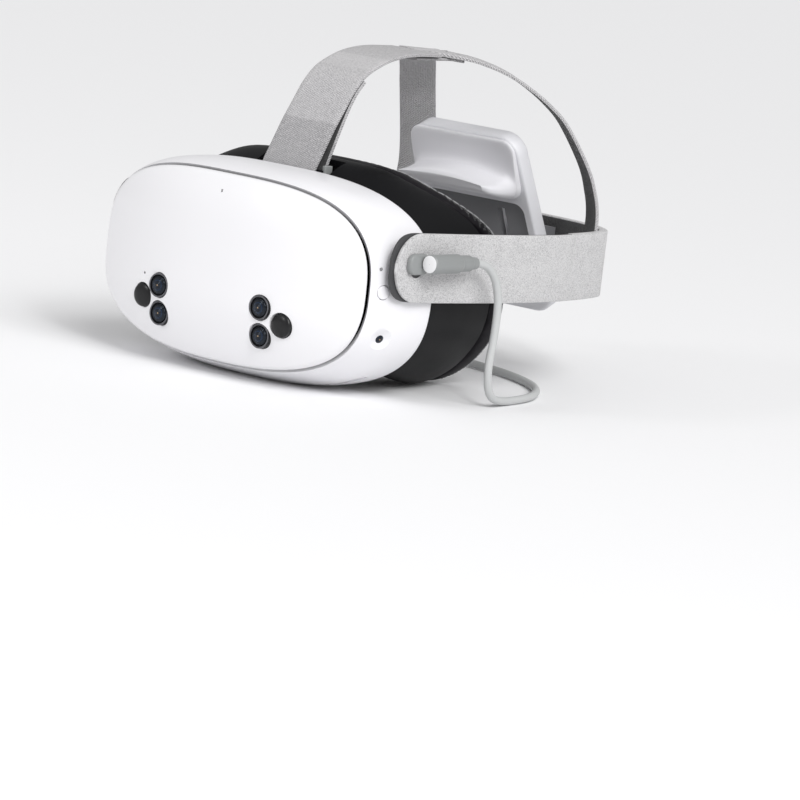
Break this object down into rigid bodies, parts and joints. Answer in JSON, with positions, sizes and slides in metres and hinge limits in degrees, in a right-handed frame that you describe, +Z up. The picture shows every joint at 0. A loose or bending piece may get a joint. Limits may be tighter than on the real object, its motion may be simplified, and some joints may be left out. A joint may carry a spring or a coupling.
{
  "type": "vr headset",
  "caption": "White head-worn display with front cameras, black face cushion, side arms, knit straps, a rear head cradle and a charging lead.",
  "frame": {"origin": "middle of the bounding box at the height of the flat base the headset rests on, with the charging lead left out", "axes": "+Z up, the front faces -Y, the wearer's left side is +X"},
  "size_m": [0.2044, 0.2588, 0.1635],
  "materials": {
    "white_shell": "fine satin moulded white plastic",
    "white_plate": "smooth satin-gloss white plastic",
    "satin_black": "satin black moulded plastic",
    "soft_black": "black knit over foam",
    "camera_black": "black plastic",
    "camera_glass": "dark coated camera glass",
    "lens_clear": "clear moulded eye lens",
    "charcoal": "dark grey plastic",
    "knit_grey": "heathered light grey knit",
    "knit_light": "fine light grey elastic webbing",
    "cradle_white": "soft satin white",
    "cradle_grey": "dark grey plastic",
    "plug_grey": "grey moulded plastic",
    "cord_grey": "grey cord jacket",
    "metal": "bare aluminium",
    "board_green": "green circuit board",
    "battery_foil": "wrapped battery cell",
    "display_black": "dark display panel",
    "led_white": "white light window",
    "rubber": "black rubber"
  },
  "bodies": {
    "headset": {"main_shell": "white_shell", "front_plate": "white_plate", "seam_gasket": "rubber", "inner_bezel": "satin_black", "mainboard": "board_green", "heat_sink": "metal", "display_panel": "display_black", "battery_cell": "battery_foil", "light_sensor": "camera_black", "status_led": "led_white", "proximity_sensor": "camera_black", "top_strap": "knit_grey", "top_strap_tail": "knit_grey", "strap_anchor": "plug_grey", "charge_adapter": "plug_grey", "charge_plug": "plug_grey", "charge_cord": "cord_grey", "usb_plug": "plug_grey", "ir_emitter_l": "camera_black", "side_camera_l": "camera_glass", "arm_hub_l": "charcoal", "camera_barrel_upper_l": "camera_black", "camera_glass_upper_l": "camera_glass", "camera_barrel_lower_l": "camera_black", "camera_glass_lower_l": "camera_glass", "ir_emitter_r": "camera_black", "side_camera_r": "camera_glass", "arm_hub_r": "charcoal", "camera_barrel_upper_r": "camera_black", "camera_glass_upper_r": "camera_glass", "camera_barrel_lower_r": "camera_black", "camera_glass_lower_r": "camera_glass"},
    "lens_carrier_l": {"lens_carriage_l": "satin_black", "eye_lens_l": "lens_clear"},
    "lens_carrier_r": {"lens_carriage_r": "satin_black", "eye_lens_r": "lens_clear"},
    "cooling_fan": {"fan_rotor": "charcoal"},
    "power_key": {"power_button": "white_shell"},
    "volume_key": {"volume_rocker": "white_shell"},
    "action_key": {"action_button": "white_shell"},
    "face_interface": {"face_frame": "satin_black", "face_cushion": "soft_black"},
    "head_strap": {"arm_core_l": "charcoal", "arm_sleeve_l": "knit_grey", "speaker_l": "charcoal", "top_branch_l": "knit_grey", "arm_core_r": "charcoal", "arm_sleeve_r": "knit_grey", "speaker_r": "charcoal", "top_branch_r": "knit_grey", "rear_band": "knit_light", "crown_patch": "knit_grey", "cradle_shell": "cradle_white", "cradle_pad": "cradle_white", "cradle_panel": "cradle_grey", "cradle_mount": "cradle_grey", "band_clip": "cradle_grey"}
  },
  "joints": [
    {"name": "strap_tilt", "type": "hinge", "parent": "headset", "child": "head_strap", "pos_m": [0, -0.0878, 0.069], "axis": [1, 0, 0], "range_deg": [-8, 18], "deforming": ["top_strap", "top_strap_tail"]},
    {"name": "lens_slide_l", "type": "slide", "parent": "headset", "child": "lens_carrier_l", "axis": [1, 0, 0], "range_m": [-0.0025, 0.0025]},
    {"name": "lens_slide_r", "type": "slide", "parent": "headset", "child": "lens_carrier_r", "axis": [1, 0, 0], "range_m": [-0.0025, 0.0025]},
    {"name": "fan_spin", "type": "hinge", "parent": "headset", "child": "cooling_fan", "pos_m": [0, -0.1104, 0.069], "axis": [0, 1, 0], "continuous": true},
    {"name": "power_press", "type": "slide", "parent": "headset", "child": "power_key", "axis": [-0.9507, 0.3102, 0], "range_m": [0, 0.0007], "stiffness_N_per_m": 900, "springref_m": -0.0008},
    {"name": "action_press", "type": "slide", "parent": "headset", "child": "action_key", "axis": [0.361, 0, 0.9326], "range_m": [0, 0.0007], "stiffness_N_per_m": 900, "springref_m": -0.0008},
    {"name": "volume_rock", "type": "hinge", "parent": "headset", "child": "volume_key", "pos_m": [0.058, -0.0848, 0.0066], "axis": [0, 1, 0], "range_deg": [-2.5, 2.5], "stiffness_Nm_per_rad": 0.12},
    {"name": "face_pull", "type": "slide", "parent": "headset", "child": "face_interface", "axis": [0, 1, 0], "range_m": [0, 0.016]}
  ],
  "couplings": [
    {"joint": "lens_slide_r", "follows": "lens_slide_l", "ratio": -1}
  ]
}
